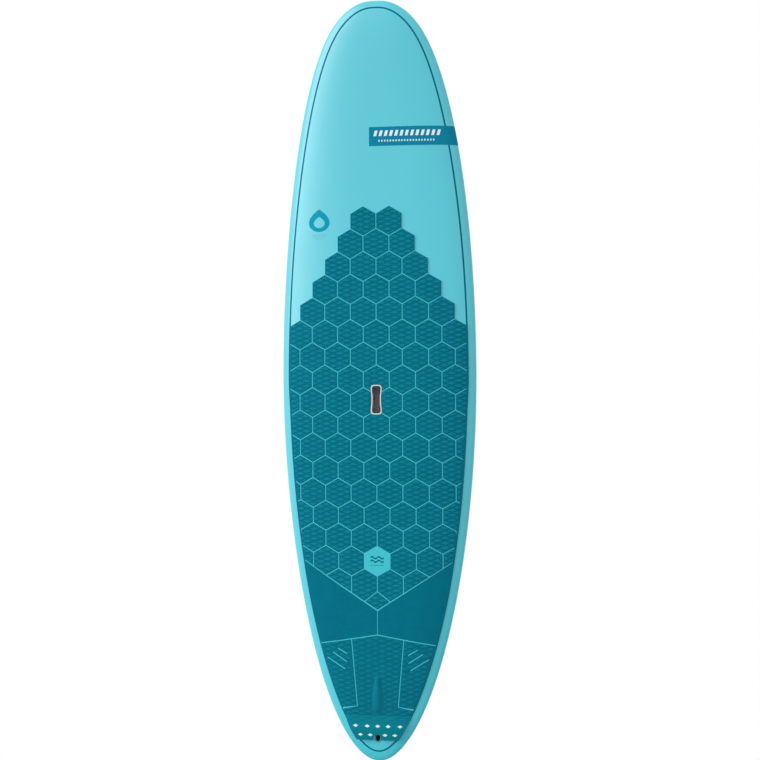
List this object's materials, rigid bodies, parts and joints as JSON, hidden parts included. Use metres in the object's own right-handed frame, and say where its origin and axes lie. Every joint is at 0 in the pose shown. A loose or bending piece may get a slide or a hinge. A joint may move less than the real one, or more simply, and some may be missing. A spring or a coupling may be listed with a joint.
{
  "type": "stand up paddleboard",
  "caption": "Rigid sandwich stand up paddleboard with hexagon-grooved deck pad, raised tail pad, centre carry handle, leash plug and a sliding centre fin with side fins.",
  "frame": {"origin": "on the flat stretch of the hull bottom, on the centre line, at half length", "axes": "+Y towards the nose, +X to the right seen from above with the nose away, +Z out of the deck"},
  "size_m": [0.79, 3.048, 0.3003],
  "materials": {
    "lacquer": "satin",
    "core_foam": "matte",
    "dense_foam": "matte",
    "stringer_wood": "matte",
    "pad_eva": "matte",
    "pale_eva": "matte",
    "white_eva": "matte",
    "grey_plastic": "satin",
    "black_plastic": "satin",
    "black_rubber": "matte",
    "stainless": "satin",
    "brass": "satin",
    "fin_plastic": "satin"
  },
  "bodies": {
    "board": {"deck_shell": "lacquer", "bottom_shell": "lacquer", "foam_core_left": "core_foam", "foam_core_right": "core_foam", "stringer": "stringer_wood", "handle_foam_block": "dense_foam", "fin_box_foam_block": "dense_foam", "hex_deck_pad": "pad_eva", "badge_tile": "pale_eva", "mid_pad_left": "pad_eva", "mid_pad_right": "pad_eva", "tail_pad_left": "pad_eva", "tail_pad_right": "pad_eva", "tail_pad_center": "pad_eva", "kick_pad": "pad_eva", "kick_pad_underlay": "white_eva", "arch_bar": "pad_eva", "handle_rim": "grey_plastic", "handle_cup": "black_plastic", "handle_grip_strip": "black_rubber", "vent_valve_body": "grey_plastic", "vent_valve_screw": "stainless", "vent_valve_o_ring": "black_rubber", "leash_plug_cup": "grey_plastic", "leash_plug_pin": "stainless", "center_fin_box": "black_plastic", "side_fin_box_left": "black_plastic", "side_fin_left": "fin_plastic", "side_fin_screw_left": "stainless", "side_fin_box_right": "black_plastic", "side_fin_right": "fin_plastic", "side_fin_screw_right": "stainless"},
    "center_fin_assembly": {"center_fin": "fin_plastic", "center_fin_pin": "brass", "center_fin_screw": "stainless", "center_fin_nut_plate": "brass"}
  },
  "joints": [
    {"name": "center_fin_slide", "type": "slide", "parent": "board", "child": "center_fin_assembly", "axis": [0, 0.9969, -0.079], "range_m": [-0.04, 0.04]}
  ]
}
